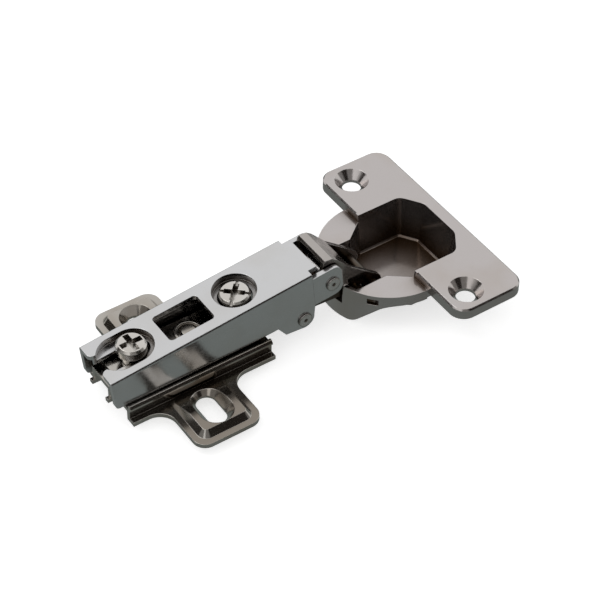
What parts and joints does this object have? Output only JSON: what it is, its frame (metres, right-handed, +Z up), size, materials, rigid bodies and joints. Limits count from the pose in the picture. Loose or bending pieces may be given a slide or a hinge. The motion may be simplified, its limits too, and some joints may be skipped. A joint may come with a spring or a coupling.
{
  "type": "concealed cup hinge",
  "caption": "Nickel-plated concealed cabinet hinge: drawn cup with T flange, linked channel arm with adjusting screws, slide-on wing mounting plate.",
  "frame": {"origin": "on the mounting face of the plate, midway between its two slots", "axes": "+X along the arm towards the cup, +Z up from the mounting face, Y across the hinge along the line of the plate slots"},
  "size_m": [0.1023, 0.0606, 0.0221],
  "materials": {
    "mounting_plate": "bright nickel plate on stamped steel",
    "clamp_strip": "bright nickel plate on stamped steel",
    "strip_rivet": "bright nickel plate on stamped steel",
    "lock_screw": "bright nickel plate on stamped steel",
    "overlay_screw": "bright nickel plate on stamped steel",
    "arm": "bright nickel plate on stamped steel",
    "outer_arm_pin": "bright nickel plate on stamped steel",
    "inner_arm_pin": "bright nickel plate on stamped steel",
    "closing_spring": "blank spring steel",
    "outer_link": "bright nickel plate on stamped steel",
    "inner_link": "bright nickel plate on stamped steel",
    "cup": "bright nickel plate on stamped steel",
    "outer_cup_pin": "bright nickel plate on stamped steel",
    "inner_cup_pin": "bright nickel plate on stamped steel"
  },
  "bodies": {
    "plate": {"mounting_plate": "mounting_plate", "clamp_strip": "clamp_strip", "strip_rivet": "strip_rivet"},
    "lock": {"lock_screw": "lock_screw"},
    "slider": {"overlay_screw": "overlay_screw"},
    "arm": {"arm": "arm", "outer_arm_pin": "outer_arm_pin", "inner_arm_pin": "inner_arm_pin", "closing_spring": "closing_spring"},
    "outer_link": {"outer_link": "outer_link"},
    "cup": {"cup": "cup", "outer_cup_pin": "outer_cup_pin", "inner_cup_pin": "inner_cup_pin"},
    "inner_link": {"inner_link": "inner_link"}
  },
  "joints": [
    {"name": "lock_turn", "type": "hinge", "parent": "plate", "child": "lock", "pos_m": [-0.01134, 0, 0.012], "axis": [0, 0, 1], "range_deg": [0, 360]},
    {"name": "depth_slide", "type": "slide", "parent": "plate", "child": "slider", "axis": [1, 0, 0], "range_m": [-0.0015, 0.0025]},
    {"name": "overlay_tilt", "type": "hinge", "parent": "slider", "child": "arm", "pos_m": [-0.01134, 0, 0.012], "axis": [0, 1, 0], "range_deg": [-1.2, 2.5]},
    {"name": "fold", "type": "hinge", "parent": "arm", "child": "outer_link", "pos_m": [0.04024, 0, 0.0129], "axis": [0, 1, 0], "range_deg": [0, 43.7]},
    {"name": "cup_fold", "type": "hinge", "parent": "outer_link", "child": "cup", "pos_m": [0.05331, 0, 0.00502], "axis": [0, 1, 0], "range_deg": [-134, 0]},
    {"name": "inner_fold", "type": "hinge", "parent": "cup", "child": "inner_link", "pos_m": [0.04885, 0, 0.00525], "axis": [0, 1, 0], "range_deg": [0, 134]}
  ],
  "couplings": [
    {"joint": "cup_fold", "follows": "fold", "ratio": -3.061},
    {"joint": "inner_fold", "follows": "fold", "ratio": 3.061}
  ]
}
